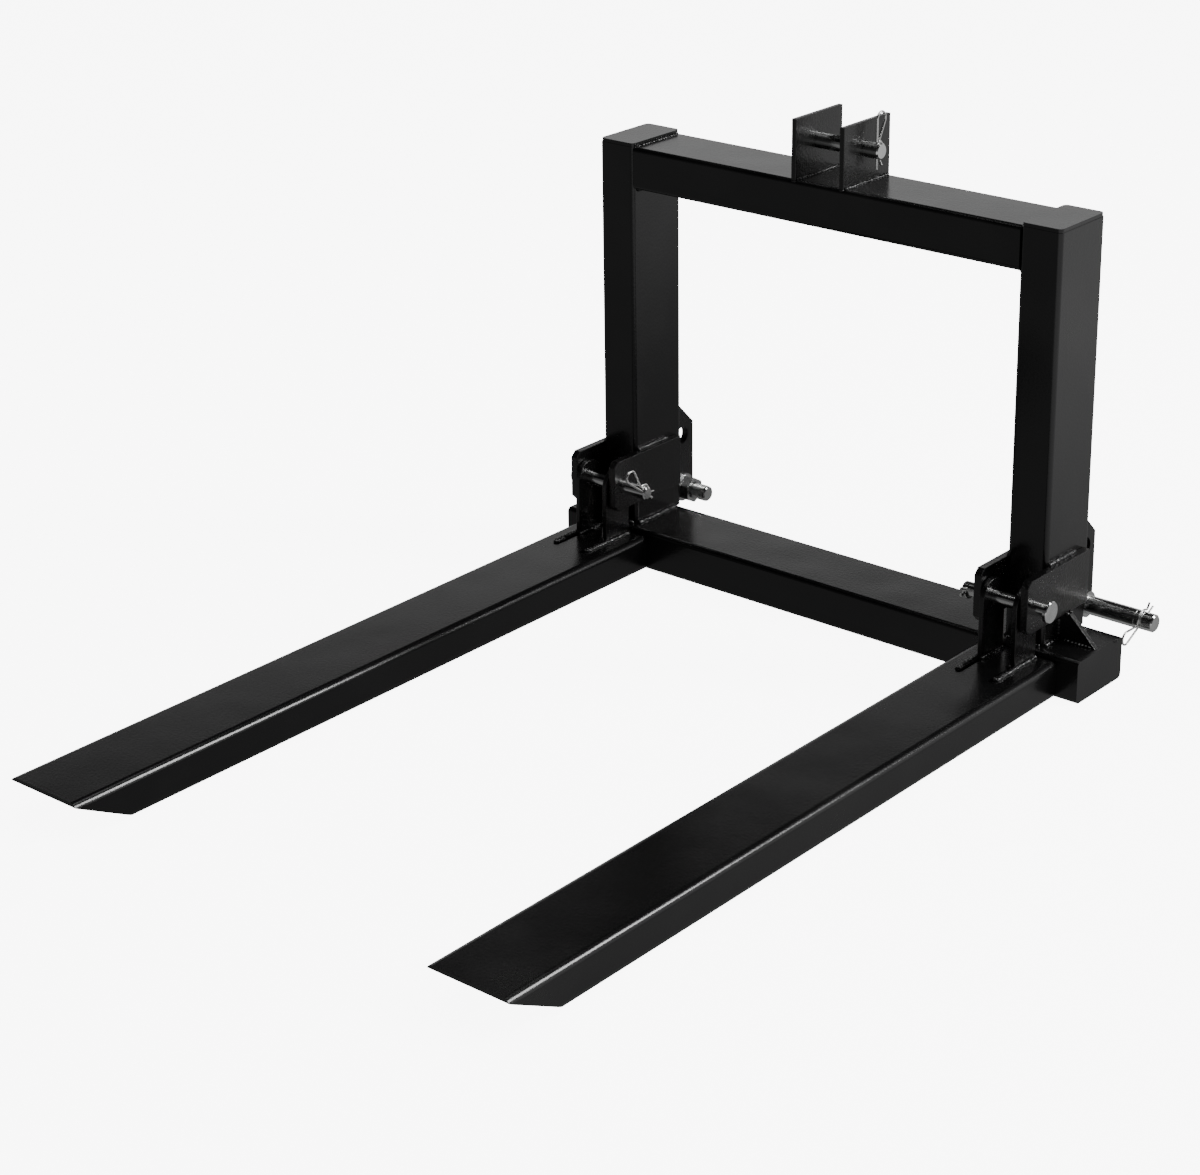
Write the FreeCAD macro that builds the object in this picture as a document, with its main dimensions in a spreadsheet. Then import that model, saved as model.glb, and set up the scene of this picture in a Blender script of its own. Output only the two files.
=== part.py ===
"""Three-point pallet fork attachment, welded from rectangular tube and flat bar.

Millimetres. +Z is up, +Y points to the rear (the tractor side) and the forks reach towards -Y.
The origin is on the underside of the lower crossbar, midway between the posts and below their
front faces. The driving sizes are in the Dimensions sheet; every sub-part takes its size and
place from them.
"""

import FreeCAD, Part
import math
import os
import re
import Sketcher

SIZES = {
    # frame: two posts between two crossbars
    "frame_width": 636.0,
    "frame_height": 528.0,
    "frame_wall": 4.0,
    "frame_corner": 5.5,
    "post_width": 50.8,
    "post_depth": 88.9,
    "cap_plate": 4.5,
    "cap_inset": 0.6,
    "top_bar_height": 50.8,
    "lower_bar_overhang": 52.0,
    "lower_bar_height": 50.8,
    "lower_bar_depth": 94.0,
    "lower_bar_lead": 10.0,
    "end_plate": 4.0,
    "edge_round": 0.8,
    # ears that carry the fork pins, and the gussets below the outer ones
    "ear_plate": 9.5,
    "ear_length": 127.0,
    "ear_height": 63.5,
    "ear_lead": 51.0,
    "ear_rise": 84.2,
    "ear_chamfer": 7.0,
    "gusset_plate": 7.0,
    "gusset_foot": 48.0,
    "gusset_setback": 35.0,
    # forks
    "fork_width": 101.6,
    "fork_depth": 44.5,
    "fork_length": 902.5,
    "fork_wall": 5.0,
    "fork_corner": 8.0,
    "heel_plate": 5.0,
    "stop_gap": 0.3,
    "tip_slope": 77.0,
    "tip_nose": 4.5,
    "tip_plate": 5.0,
    # plates that stand up from each fork and hang it on its pin
    "upstand_plate": 6.0,
    "upstand_width": 43.0,
    "upstand_gap": 1.2,
    "foot_gap": 1.7,
    "slot_lead": 44.5,
    "slot_gap": 0.5,
    # fork pins
    "pin_lead": 34.0,
    "pin_rise": 113.5,
    "pin_diameter": 16.0,
    "pin_grip": 108.0,
    "left_pin_standoff": 0.7,
    "right_pin_standoff": 16.0,
    "head_diameter": 25.4,
    "head_height": 4.5,
    "head_chamfer": 0.8,
    "running_gap": 0.08,
    "pin_chamfer": 1.5,
    # spring clips
    "clip_wire": 3.0,
    "hitch_clip_wire": 2.5,
    "clip_inset": 7.0,
    "clip_hole_gap": 0.2,
    "clip_grip_gap": 0.15,
    "clip_tail": 12.0,
    "clip_shoulder": 26.0,
    "clip_eye": 7.5,
    "clip_waist_gap": 0.7,
    "clip_flare": 9.0,
    "left_fork_clip_tilt": 54.0,
    "right_fork_clip_tilt": -110.0,
    "hitch_clip_tilt": 116.0,
    # lower hitch lugs, pins, washers and nuts
    "lug_plate": 9.5,
    "lug_reach": 49.6,
    "lug_low": 42.0,
    "lug_top": 170.0,
    "lug_top_chamfer": 27.0,
    "lug_low_chamfer": 16.0,
    "hitch_setback": 28.1,
    "hitch_rise": 60.0,
    "upper_hole_rise": 129.0,
    "hitch_diameter": 22.0,
    "hitch_clip_reach": 6.5,
    "hitch_nose_lead": 7.0,
    "hitch_nose_step": 0.5,
    "hitch_clip_inset": 16.0,
    "hole_gap": 0.2,
    "collar_diameter": 31.0,
    "collar_height": 8.0,
    "thread_diameter": 19.0,
    "thread_length": 41.9,
    "washer_diameter": 36.0,
    "washer_height": 3.0,
    "nut_flats": 28.6,
    "nut_height": 16.5,
    "nut_gap": 0.1,
    # top-link plates and pin
    "link_plate": 6.35,
    "link_width": 72.4,
    "link_height": 70.5,
    "link_pin_rise": 38.0,
    "link_pin_diameter": 19.0,
    "link_pin_reach": 20.0,
    "link_head_diameter": 30.0,
    "link_head_gap": 2.0,
}

# Places that more than one sub-part shares, worked out from the sheet's cells.
POST_CENTRE = "(frame_width - post_width) / 2"
HEEL_FACE = "lower_bar_lead + stop_gap"
FORK_TUBE = "fork_length - heel_plate"
LOWER_BAR = "(frame_width + 2 * lower_bar_overhang)"
UPSTAND_OFFSET = "(post_width / 2 - upstand_gap - upstand_plate / 2)"
FOOT_REAR = "(lower_bar_lead + stop_gap + heel_plate + foot_gap)"
TIP_RISE = "(fork_depth - tip_nose)"
TIP_SHIFT = "(tip_plate * sqrt(tip_slope ^ 2 + (fork_depth - tip_nose) ^ 2) / (fork_depth - tip_nose))"
FRAME_TUBE = ("frame_corner", "frame_wall")
SIDES = {"left": -1, "right": 1}
X_AXIS = FreeCAD.Vector(1, 0, 0)

doc = FreeCAD.newDocument("PalletForkAttachment")
sheet = doc.addObject("Spreadsheet::Sheet", "Dimensions")
for row, (alias, size) in enumerate(SIZES.items(), start=1):
    sheet.set(f"A{row}", alias)
    sheet.set(f"B{row}", str(size))
    sheet.setAlias(f"B{row}", alias)
doc.recompute()

nodes = []


def bound(text):
    """The expression for a text written in the sheet's own words."""
    return re.sub(r"[a-z][a-z_]+", lambda m: f"Dimensions.{m[0]}" if m[0] in SIZES else m[0], str(text))


def value(text):
    """The number that such a text comes to."""
    return float(sheet.evalExpression(bound(text)))


def bind(item, path, text):
    """Ties one property or constraint to the sheet."""
    item.setExpression(path, bound(text))


def place(item, x="0", y="0", z="0", tilt="0"):
    """Puts a sub-part at x, y, z, turned about the X axis by tilt degrees."""
    item.Placement = FreeCAD.Placement(
        FreeCAD.Vector(value(x), value(y), value(z)), FreeCAD.Rotation(X_AXIS, value(tilt))
    )
    for axis, text in zip("xyz", (x, y, z)):
        bind(item, f"Placement.Base.{axis}", text)


def new_body(label):
    """An empty PartDesign body that becomes one node."""
    body = doc.addObject("PartDesign::Body", label)
    body.Label = label
    nodes.append(body)
    return body


def new_sketch(body, role, name):
    """A sketch on one of the body's own origin planes: XY_Plane, XZ_Plane or YZ_Plane."""
    sketch = body.newObject("Sketcher::SketchObject", f"{body.Label}_{name}")
    plane = next(f for f in body.Origin.OriginFeatures if f.Role == role)
    sketch.AttachmentSupport = [(plane, "")]
    sketch.MapMode = "FlatFace"
    return sketch


def fix_point(sketch, geometry, end, x, y):
    """Holds one point of a sketch at x, y from its origin."""
    for kind, text, axis in (("DistanceX", x, -2), ("DistanceY", y, -1)):
        size = value(text)
        if abs(size) < 1e-9:
            sketch.addConstraint(Sketcher.Constraint("PointOnObject", geometry, end, axis))
            continue
        index = sketch.addConstraint(Sketcher.Constraint(kind, -1, 1, geometry, end, size))
        bind(sketch, f"Constraints[{index}]", text)


def polygon(sketch, corners):
    """A closed outline of straight lines through the corners."""
    points = [FreeCAD.Vector(value(x), value(y), 0) for x, y in corners]
    first = sketch.GeometryCount
    count = len(points)
    for i in range(count):
        sketch.addGeometry(Part.LineSegment(points[i], points[(i + 1) % count]))
    for i, (x, y) in enumerate(corners):
        follower = first + (i + 1) % count
        sketch.addConstraint(Sketcher.Constraint("Coincident", first + i, 2, follower, 1))
        fix_point(sketch, first + i, 1, x, y)


def circle(sketch, x, y, radius):
    """A full circle."""
    centre = FreeCAD.Vector(value(x), value(y), 0)
    index = sketch.addGeometry(Part.Circle(centre, FreeCAD.Vector(0, 0, 1), value(radius)))
    constraint = sketch.addConstraint(Sketcher.Constraint("Radius", index, value(radius)))
    bind(sketch, f"Constraints[{constraint}]", radius)
    fix_point(sketch, index, 3, x, y)


def rounded_rectangle(sketch, low, high, radius):
    """A rectangle from low to high whose four corners are arcs of one radius."""
    (x0, y0), (x1, y1), r = [value(t) for t in low], [value(t) for t in high], value(radius)
    normal = FreeCAD.Vector(0, 0, 1)
    ends = [
        ((x0 + r, y0), (x1 - r, y0)),
        ((x1, y0 + r), (x1, y1 - r)),
        ((x1 - r, y1), (x0 + r, y1)),
        ((x0, y1 - r), (x0, y0 + r)),
    ]
    centres = [(x1 - r, y0 + r), (x1 - r, y1 - r), (x0 + r, y1 - r), (x0 + r, y0 + r)]
    lines = []
    for start_point, end_point in ends:
        side_line = Part.LineSegment(FreeCAD.Vector(*start_point, 0), FreeCAD.Vector(*end_point, 0))
        lines.append(sketch.addGeometry(side_line))
    arcs = []
    for i, centre in enumerate(centres):
        start = math.pi / 2 * (i - 1)
        whole = Part.Circle(FreeCAD.Vector(*centre, 0), normal, r)
        arcs.append(sketch.addGeometry(Part.ArcOfCircle(whole, start, start + math.pi / 2)))
    for i in range(4):
        sketch.addConstraint(Sketcher.Constraint("Tangent", lines[i], 2, arcs[i], 1))
        sketch.addConstraint(Sketcher.Constraint("Tangent", arcs[i], 2, lines[(i + 1) % 4], 1))
    for i, kind in enumerate(("Horizontal", "Vertical", "Horizontal", "Vertical")):
        sketch.addConstraint(Sketcher.Constraint(kind, lines[i]))
    for i in range(1, 4):
        sketch.addConstraint(Sketcher.Constraint("Equal", arcs[0], arcs[i]))
    index = sketch.addConstraint(Sketcher.Constraint("Radius", arcs[0], r))
    bind(sketch, f"Constraints[{index}]", radius)
    sides = (
        ("DistanceY", 0, low[1]),
        ("DistanceX", 1, high[0]),
        ("DistanceY", 2, high[1]),
        ("DistanceX", 3, low[0]),
    )
    for kind, i, text in sides:
        if abs(value(text)) < 1e-9:
            axis = -1 if kind == "DistanceY" else -2
            sketch.addConstraint(Sketcher.Constraint("PointOnObject", lines[i], 1, axis))
            continue
        index = sketch.addConstraint(Sketcher.Constraint(kind, -1, 1, lines[i], 1, value(text)))
        bind(sketch, f"Constraints[{index}]", text)


def pad(body, sketch, length, both_ways=False, back=False):
    """Adds the sketch's outline to the body, to one side of its plane or half to each."""
    feature = body.newObject("PartDesign::Pad", f"{sketch.Name}_pad")
    feature.Profile = sketch
    feature.SideType = "Symmetric" if both_ways else "One side"
    feature.Reversed = back
    bind(feature, "Length", length)
    doc.recompute()
    return feature


def cut(body, sketch, length=None, back=False):
    """Cuts the outline out of the body: right through both ways, or to a length on one side."""
    before = body.Shape.Volume
    feature = body.newObject("PartDesign::Pocket", f"{sketch.Name}_cut")
    feature.Profile = sketch
    feature.Reversed = back
    if length is None:
        feature.Type = "ThroughAll"
        feature.SideType = "Symmetric"
    else:
        bind(feature, "Length", length)
    doc.recompute()
    if body.Shape.Volume > before - 1e-3:
        raise RuntimeError(f"{sketch.Name} cuts nothing")
    return feature


def bar(label, role, low, high, corner, length, both_ways=False):
    """A solid bar or plate with a tube's rounded outline."""
    body = new_body(label)
    outline = new_sketch(body, role, "outline")
    rounded_rectangle(outline, low, high, corner)
    pad(body, outline, length, both_ways)
    return body


def tube(label, role, low, high, corner, wall, length, both_ways=False):
    """Rectangular hollow section: the rounded bar with its inside cut out."""
    body = bar(label, role, low, high, corner, length, both_ways)
    inside = new_sketch(body, role, "inside")
    inner_low = [f"{t} + {wall}" for t in low]
    inner_high = [f"{t} - {wall}" for t in high]
    rounded_rectangle(inside, inner_low, inner_high, f"{corner} - {wall}")
    cut(body, inside)
    return body


def soften(body, along, thickness):
    """Rounds the edges that bound a plate's two faces; along is the axis through its thickness."""
    half = value(thickness) / 2
    pads = body.Tip
    names = []
    for number, edge in enumerate(pads.Shape.Edges, start=1):
        low = getattr(edge.BoundBox, f"{along}Min")
        high = getattr(edge.BoundBox, f"{along}Max")
        if high - low < 1e-4 and abs(abs(low) - half) < 1e-4:
            names.append(f"Edge{number}")
    feature = body.newObject("PartDesign::Fillet", f"{body.Label}_edges")
    feature.Base = (pads, names)
    bind(feature, "Radius", "edge_round")
    doc.recompute()


def plate(label, role, corners, thickness, holes=()):
    """A flat plate, half its thickness to each side of its plane, with round holes."""
    body = new_body(label)
    outline = new_sketch(body, role, "outline")
    polygon(outline, corners)
    pad(body, outline, thickness, both_ways=True)
    soften(body, "X" if role == "YZ_Plane" else "Y", thickness)
    for number, (x, y, radius) in enumerate(holes, start=1):
        hole = new_sketch(body, role, f"hole_{number}")
        circle(hole, x, y, radius)
        cut(body, hole)
    return body


def turned(label, profile, cross_hole=None):
    """A turned piece about the X axis; its profile is given as x and radius pairs."""
    body = new_body(label)
    outline = new_sketch(body, "XY_Plane", "profile")
    polygon(outline, profile)
    feature = body.newObject("PartDesign::Revolution", f"{label}_turned")
    feature.Profile = outline
    feature.ReferenceAxis = (outline, ["H_Axis"])
    feature.Angle = 360
    doc.recompute()
    if cross_hole:
        hole = new_sketch(body, "XY_Plane", "clip_hole")
        circle(hole, cross_hole[0], "0", cross_hole[1])
        cut(body, hole)
    return body


def rounded_path(points, radii):
    """Straight runs joined by tangent arcs, one radius for each inner point."""
    edges = []
    start = points[0]
    for before, corner, after, radius in zip(points, points[1:], points[2:], radii):
        into = (corner - before).normalize()
        out = (after - corner).normalize()
        half_turn = into.getAngle(out) / 2
        reach = radius * math.tan(half_turn)
        first = corner - into * reach
        last = corner + out * reach
        middle = corner + (out - into).normalize() * (radius / math.cos(half_turn) - radius)
        if (first - start).Length > 1e-6:
            edges.append(Part.LineSegment(start, first).toShape())
        edges.append(Part.Arc(first, middle, last).toShape())
        start = last
    edges.append(Part.LineSegment(start, points[-1]).toShape())
    return Part.Wire(edges)


def clip(label, pin_diameter, wire, x, y, z, tilt):
    """Spring clip of bent wire: a straight leg through the pin, an eye, and a leg bowed round the pin.

    The clip is drawn with its straight leg along Z and its bowed leg towards +Y of the pin.
    """
    wire_size = value(wire)
    bow = value(pin_diameter) / 2 + wire_size / 2 + value("clip_grip_gap")
    eye = value("clip_eye")
    shoulder = value(pin_diameter) / 2 + value("clip_shoulder")
    tail = value(pin_diameter) / 2 + value("clip_tail")
    waist = wire_size + value("clip_waist_gap")
    enter, leave = math.radians(35), math.radians(140)

    def bow_corner(from_angle, to_angle):
        middle = (from_angle + to_angle) / 2
        distance = bow / math.cos((to_angle - from_angle) / 2)
        return FreeCAD.Vector(0, distance * math.sin(middle), distance * math.cos(middle))

    turn_out = FreeCAD.Vector(0, bow * math.sin(leave), bow * math.cos(leave))
    heel = turn_out + FreeCAD.Vector(0, math.cos(leave), -math.sin(leave)) * (wire_size * 1.1)
    flare = FreeCAD.Vector(0, math.sin(math.radians(30)), -math.cos(math.radians(30)))
    points = [
        FreeCAD.Vector(0, 0, -tail),
        FreeCAD.Vector(0, 0, shoulder + eye),
        FreeCAD.Vector(0, 2 * eye, shoulder + eye),
        FreeCAD.Vector(0, 2 * eye, shoulder - 0.3 * eye),
        FreeCAD.Vector(0, waist, (bow - waist * math.sin(enter)) / math.cos(enter)),
        bow_corner(enter, math.pi / 2),
        bow_corner(math.pi / 2, leave),
        heel,
        heel + flare * value("clip_flare"),
    ]
    path = rounded_path(points, [eye, eye, eye * 0.8, wire_size * 0.7, bow, bow, wire_size])
    section = Part.Wire(Part.makeCircle(wire_size / 2, points[0], FreeCAD.Vector(0, 0, 1)))
    item = doc.addObject("Part::Feature", label)
    item.Label = label
    item.Shape = path.makePipeShell([section], True, False)
    expected = math.pi * wire_size**2 / 4 * path.Length
    if abs(item.Shape.Volume - expected) > 0.02 * expected:
        raise RuntimeError(f"{label} has the wrong volume")
    nodes.append(item)
    place(item, x, y, z, tilt)
    return item


def lower_crossbar():
    """The tube across the bottom, closed at both ends, that the forks' heels bear against."""
    low = ("-lower_bar_lead", "0")
    high = ("lower_bar_depth - lower_bar_lead", "lower_bar_height")
    tube("lower_crossbar", "YZ_Plane", low, high, *FRAME_TUBE, f"{LOWER_BAR} - 2 * end_plate", True)
    for side, sign in SIDES.items():
        cap = bar(f"lower_crossbar_{side}_end", "YZ_Plane", low, high, "frame_corner", "end_plate", True)
        place(cap, f"{sign} * ({LOWER_BAR} - end_plate) / 2")


def top_crossbar():
    """The tube between the posts, flush with their front, rear and top."""
    low = ("0", "frame_height - top_bar_height")
    high = ("post_depth", "frame_height")
    tube("top_crossbar", "YZ_Plane", low, high, *FRAME_TUBE, "frame_width - 2 * post_width", True)


def post(side, sign):
    """An upright with its cap plate; it stands on the lower crossbar."""
    low = ("-post_width / 2", "0")
    high = ("post_width / 2", "post_depth")
    upright = tube(f"{side}_post", "XY_Plane", low, high, *FRAME_TUBE, "frame_height - lower_bar_height")
    place(upright, f"{sign} * {POST_CENTRE}", "0", "lower_bar_height")
    cap_low = ("-post_width / 2 + cap_inset", "cap_inset")
    cap_high = ("post_width / 2 - cap_inset", "post_depth - cap_inset")
    cap = bar(f"{side}_post_cap", "XY_Plane", cap_low, cap_high, "frame_corner", "cap_plate")
    place(cap, f"{sign} * {POST_CENTRE}", "0", "frame_height")


def ears(side, sign):
    """Two flat bars, one on each face of the post, bored for the fork pin."""
    front, rear = "-ear_lead", "ear_length - ear_lead"
    low, high = "ear_rise", "ear_rise + ear_height"
    corners = [
        (f"{front} + ear_chamfer", low),
        (rear, low),
        (rear, high),
        (f"{front} + ear_chamfer", high),
        (front, f"{high} - ear_chamfer"),
        (front, f"{low} + ear_chamfer"),
    ]
    holes = [("-pin_lead", "pin_rise", "pin_diameter / 2 + running_gap")]
    for where, outward in (("outer", 1), ("inner", -1)):
        ear = plate(f"{side}_{where}_ear", "YZ_Plane", corners, "ear_plate", holes)
        place(ear, f"{sign} * ({POST_CENTRE} + {outward} * (post_width + ear_plate) / 2)")


def gusset(side, sign):
    """A sloping plate between the crossbar's top, the post and the underside of the outer ear."""
    slope_rise = "(ear_rise - lower_bar_height)"
    corners = [
        ("0", "lower_bar_height"),
        (f"{sign} * gusset_foot", "lower_bar_height"),
        (f"{sign} * (gusset_foot - {slope_rise})", "ear_rise"),
        ("0", "ear_rise"),
    ]
    web = plate(f"{side}_gusset", "XZ_Plane", corners, "gusset_plate")
    place(web, f"{sign} * frame_width / 2", "gusset_setback")


def hitch_lug(side, sign):
    """A thick plate behind the post with two holes, the lower one for the hitch pin."""
    rear = "(post_depth + lug_reach)"
    corners = [
        ("post_depth", "lug_low"),
        (f"{rear} - lug_low_chamfer", "lug_low"),
        (rear, "lug_low + lug_low_chamfer"),
        (rear, "lug_top - lug_top_chamfer"),
        (f"{rear} - lug_top_chamfer", "lug_top"),
        ("post_depth", "lug_top"),
    ]
    radius = "(hitch_diameter + hole_gap) / 2"
    setback = "post_depth + hitch_setback"
    holes = [(setback, "hitch_rise", radius), (setback, "upper_hole_rise", radius)]
    lug = plate(f"{side}_hitch_lug", "YZ_Plane", corners, "lug_plate", holes)
    place(lug, f"{sign} * {POST_CENTRE}")


def hitch_pin(side, sign):
    """Lower hitch pin with its collar against the lug, and the washer, nut and clip that hold it."""
    y, z = "post_depth + hitch_setback", "hitch_rise"
    lug_face = "lug_plate / 2"
    clip_x = "(post_width / 2 + lower_bar_overhang + hitch_clip_reach)"
    step = f"({clip_x} - hitch_nose_lead)"
    end = f"({clip_x} + hitch_clip_inset)"
    inner = f"(-{lug_face})"
    tail = f"({inner} - thread_length)"
    shank, collar, thread = "hitch_diameter / 2", "collar_diameter / 2", "thread_diameter / 2"
    nose = f"({shank} - hitch_nose_step)"
    profile = [
        (tail, "0"),
        (tail, f"{thread} - pin_chamfer"),
        (f"{tail} + pin_chamfer", thread),
        (inner, thread),
        (inner, shank),
        (lug_face, shank),
        (lug_face, collar),
        (f"{lug_face} + collar_height", collar),
        (f"{lug_face} + collar_height", shank),
        (step, shank),
        (step, nose),
        (f"{end} - pin_chamfer", nose),
        (end, f"{nose} - pin_chamfer"),
        (end, "0"),
    ]
    profile = [(f"{sign} * ({x})", radius) for x, radius in profile]
    cross_hole = (f"{sign} * ({clip_x})", "hitch_clip_wire / 2 + clip_hole_gap")
    pin = turned(f"{side}_hitch_pin", profile, cross_hole)
    place(pin, f"{sign} * {POST_CENTRE}", y, z, "hitch_clip_tilt")
    bore = f"{thread} + nut_gap"
    ring = [
        (f"{inner} - washer_height", bore),
        (inner, bore),
        (inner, "washer_diameter / 2"),
        (f"{inner} - washer_height", "washer_diameter / 2"),
    ]
    washer = turned(f"{side}_hitch_washer", [(f"{sign} * ({x})", radius) for x, radius in ring])
    place(washer, f"{sign} * {POST_CENTRE}", y, z)
    hitch_nut(side, sign, f"{inner} - washer_height - nut_height / 2", y, z)
    clip_place = f"{sign} * ({POST_CENTRE} + {clip_x})"
    clip(f"{side}_hitch_clip", "hitch_diameter", "hitch_clip_wire", clip_place, y, z, "hitch_clip_tilt")


def hitch_nut(side, sign, x, y, z):
    """Hexagon nut on the hitch pin's thread."""
    body = new_body(f"{side}_hitch_nut")
    outline = new_sketch(body, "YZ_Plane", "hexagon")
    corners = []
    for i in range(6):
        angle = 60 * i
        corners.append((f"nut_flats / sqrt(3) * cos({angle})", f"nut_flats / sqrt(3) * sin({angle})"))
    polygon(outline, corners)
    pad(body, outline, "nut_height", both_ways=True)
    hole = new_sketch(body, "YZ_Plane", "bore")
    circle(hole, "0", "0", "thread_diameter / 2 + nut_gap")
    cut(body, hole)
    place(body, f"{sign} * ({POST_CENTRE} + {x})", y, z)


def link_plates():
    """Two plates on the top crossbar that hold the top-link pin."""
    corners = [
        ("0", "frame_height"),
        ("post_depth", "frame_height"),
        ("post_depth", "frame_height + link_height"),
        ("0", "frame_height + link_height"),
    ]
    holes = [("post_depth / 2", "frame_height + link_pin_rise", "link_pin_diameter / 2 + running_gap")]
    for side, sign in SIDES.items():
        cheek = plate(f"{side}_link_plate", "YZ_Plane", corners, "link_plate", holes)
        place(cheek, f"{sign} * (link_width - link_plate) / 2")


def headed_pin(label, sign, head_face, grip, diameter, head, x, y, z, tilt):
    """A plain pin with a flat head; head_face is where its shank starts, and its tail is clipped."""
    radius = f"({diameter}) / 2"
    tail = f"({head_face} - {grip})"
    profile = [
        (tail, "0"),
        (tail, f"{radius} - pin_chamfer"),
        (f"{tail} + pin_chamfer", radius),
        (head_face, radius),
        (head_face, f"{head} / 2"),
        (f"{head_face} + head_height - head_chamfer", f"{head} / 2"),
        (f"{head_face} + head_height", f"{head} / 2 - head_chamfer"),
        (f"{head_face} + head_height", "0"),
    ]
    profile = [(f"{sign} * ({along})", across) for along, across in profile]
    clip_x = f"{tail} + clip_inset"
    pin = turned(label, profile, (f"{sign} * ({clip_x})", "clip_wire / 2 + clip_hole_gap"))
    place(pin, x, y, z, tilt)
    clip_place = f"{x} + {sign} * ({clip_x})"
    clip(label.replace("_pin", "_clip"), diameter, "clip_wire", clip_place, y, z, tilt)


def fork_pin(side, sign):
    """The pin that a fork hangs and folds on, head outboard and clip inboard."""
    head_face = f"(post_width / 2 + ear_plate + {side}_pin_standoff)"
    x = f"{sign} * {POST_CENTRE}"
    label = f"{side}_fork_pin"
    sizes = (head_face, "pin_grip", "pin_diameter", "head_diameter")
    headed_pin(label, sign, *sizes, x, "-pin_lead", "pin_rise", f"{side}_fork_clip_tilt")


def top_link_pin():
    """The pin across the top-link plates, head on the left and clip on the right."""
    head_face = "(link_width / 2 + link_head_gap)"
    grip = "(link_width + link_head_gap + link_pin_reach)"
    sizes = (head_face, grip, "link_pin_diameter", "link_head_diameter")
    headed_pin("top_link_pin", -1, *sizes, "0", "post_depth / 2", "frame_height + link_pin_rise", "0")


def fork_tube(side, sign):
    """The fork's tube: cut to a slope below the tip, and slotted on top for the upstands."""
    low = ("-fork_width / 2", "0")
    high = ("fork_width / 2", "fork_depth")
    body = tube(f"{side}_fork_tube", "XZ_Plane", low, high, "fork_corner", "fork_wall", FORK_TUBE)
    nose = f"(-({FORK_TUBE}))"
    under_tip = new_sketch(body, "YZ_Plane", "under_tip")
    polygon(under_tip, [
        (nose, "0"),
        (f"{nose} + tip_slope + {TIP_SHIFT}", "0"),
        (f"{nose} + {TIP_SHIFT}", TIP_RISE),
        (nose, TIP_RISE),
    ])
    cut(body, under_tip)
    rear = f"({HEEL_FACE} + heel_plate - {FOOT_REAR} + slot_gap)"
    front = f"({HEEL_FACE} + heel_plate - pin_lead - upstand_width / 2 - slot_lead)"
    half = "(upstand_plate / 2 + slot_gap)"
    for where, offset in (("left", -1), ("right", 1)):
        centre = f"{offset} * {UPSTAND_OFFSET}"
        slot = new_sketch(body, "XY_Plane", f"{where}_slot")
        top_face = FreeCAD.Vector(0, 0, value("fork_depth"))
        slot.AttachmentOffset = FreeCAD.Placement(top_face, FreeCAD.Rotation())
        bind(slot, "AttachmentOffset.Base.z", "fork_depth")
        polygon(slot, [
            (f"{centre} - {half}", f"{front} + {half}"),
            (f"{centre} + {half}", f"{front} + {half}"),
            (f"{centre} + {half}", rear),
            (f"{centre} - {half}", rear),
        ])
        cut(body, slot, "fork_wall + slot_gap")
        slot_end = new_sketch(body, "XY_Plane", f"{where}_slot_end")
        slot_end.AttachmentOffset = slot.AttachmentOffset
        bind(slot_end, "AttachmentOffset.Base.z", "fork_depth")
        circle(slot_end, centre, f"{front} + {half}", half)
        cut(body, slot_end, "fork_wall + slot_gap")
    place(body, f"{sign} * {POST_CENTRE}", f"-({HEEL_FACE} + heel_plate)")


def fork_end_plates(side, sign):
    """The plate that closes the fork's heel, and the sloping one under its tip."""
    low = ("-fork_width / 2", "0")
    high = ("fork_width / 2", "fork_depth")
    heel = bar(f"{side}_fork_heel", "XZ_Plane", low, high, "fork_corner", "heel_plate")
    place(heel, f"{sign} * {POST_CENTRE}", f"-({HEEL_FACE})")
    tip = bar(f"{side}_fork_tip", "XZ_Plane", low, high, "fork_corner", f"tip_slope + {TIP_SHIFT}")
    nose = f"(-tip_slope - {TIP_SHIFT})"
    below = new_sketch(tip, "YZ_Plane", "below")
    polygon(below, [(nose, "0"), (f"-{TIP_SHIFT}", "0"), (nose, TIP_RISE)])
    cut(tip, below)
    above = new_sketch(tip, "YZ_Plane", "above")
    polygon(above, [
        ("0", "0"),
        ("0", "fork_depth"),
        (nose, "fork_depth"),
        (nose, TIP_RISE),
        ("-tip_slope", TIP_RISE),
    ])
    cut(tip, above)
    place(tip, f"{sign} * {POST_CENTRE}", f"-({HEEL_FACE} + fork_length - tip_slope - {TIP_SHIFT})")


def upstands(side, sign):
    """Two plates let into the fork's top, with round heads bored for the fork pin."""
    front = "(-pin_lead - upstand_width / 2)"
    rear = "(-pin_lead + upstand_width / 2)"
    corners = [
        (front, "fork_wall"),
        (f"-{FOOT_REAR}", "fork_wall"),
        (f"-{FOOT_REAR}", "fork_depth"),
        (rear, "fork_depth"),
        (rear, "pin_rise"),
        (front, "pin_rise"),
    ]
    for where, outward in (("outer", 1), ("inner", -1)):
        body = new_body(f"{side}_fork_{where}_upstand")
        outline = new_sketch(body, "YZ_Plane", "outline")
        polygon(outline, corners)
        pad(body, outline, "upstand_plate", both_ways=True)
        head = new_sketch(body, "YZ_Plane", "head")
        circle(head, "-pin_lead", "pin_rise", "upstand_width / 2")
        pad(body, head, "upstand_plate", both_ways=True)
        soften(body, "X", "upstand_plate")
        hole = new_sketch(body, "YZ_Plane", "hole")
        circle(hole, "-pin_lead", "pin_rise", "pin_diameter / 2 + running_gap")
        cut(body, hole)
        place(body, f"{sign} * ({POST_CENTRE} + {outward} * {UPSTAND_OFFSET})")


lower_crossbar()
top_crossbar()
link_plates()
top_link_pin()
for side, sign in SIDES.items():
    post(side, sign)
    ears(side, sign)
    gusset(side, sign)
    hitch_lug(side, sign)
    hitch_pin(side, sign)
    fork_tube(side, sign)
    fork_end_plates(side, sign)
    upstands(side, sign)
    fork_pin(side, sign)

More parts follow.
